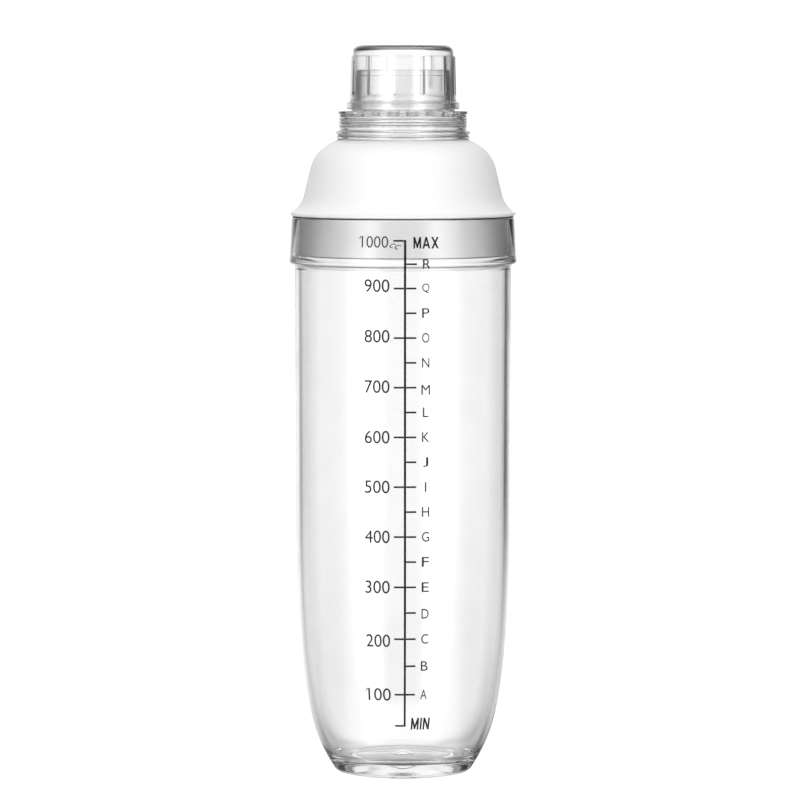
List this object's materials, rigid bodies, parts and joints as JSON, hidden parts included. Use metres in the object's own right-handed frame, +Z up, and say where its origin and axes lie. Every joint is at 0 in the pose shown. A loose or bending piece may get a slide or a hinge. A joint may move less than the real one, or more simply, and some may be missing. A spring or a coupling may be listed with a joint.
{
  "type": "shaker bottle",
  "caption": "Clear graduated shaker cup with a frosted plug-in shoulder lid, a straining neck and a fluted clear cap.",
  "frame": {"origin": "middle of the foot, on the surface that the bottle stands on", "axes": "+Z up along the bottle's axis; the graduations face -Y; +X is to the right of a person who reads them"},
  "size_m": [0.0906, 0.0907, 0.289],
  "materials": {
    "clear_plastic": "clear polished moulded plastic",
    "frosted_plastic": "translucent white plastic with a fine satin texture",
    "seal_rubber": "smooth dark elastomer",
    "ink": "thin printed black ink"
  },
  "bodies": {
    "cup": {"cup": "clear_plastic", "scale_print": "ink"},
    "lid": {"lid_shell": "frosted_plastic", "lid_seal": "seal_rubber", "strainer_neck": "clear_plastic"},
    "cap": {"cap": "clear_plastic"}
  },
  "joints": [
    {"name": "lid_lift", "type": "slide", "parent": "cup", "child": "lid", "axis": [0, 0, 1], "range_m": [0, 0.05]},
    {"name": "cap_lift", "type": "slide", "parent": "lid", "child": "cap", "axis": [0, 0, 1], "range_m": [0, 0.045]}
  ]
}
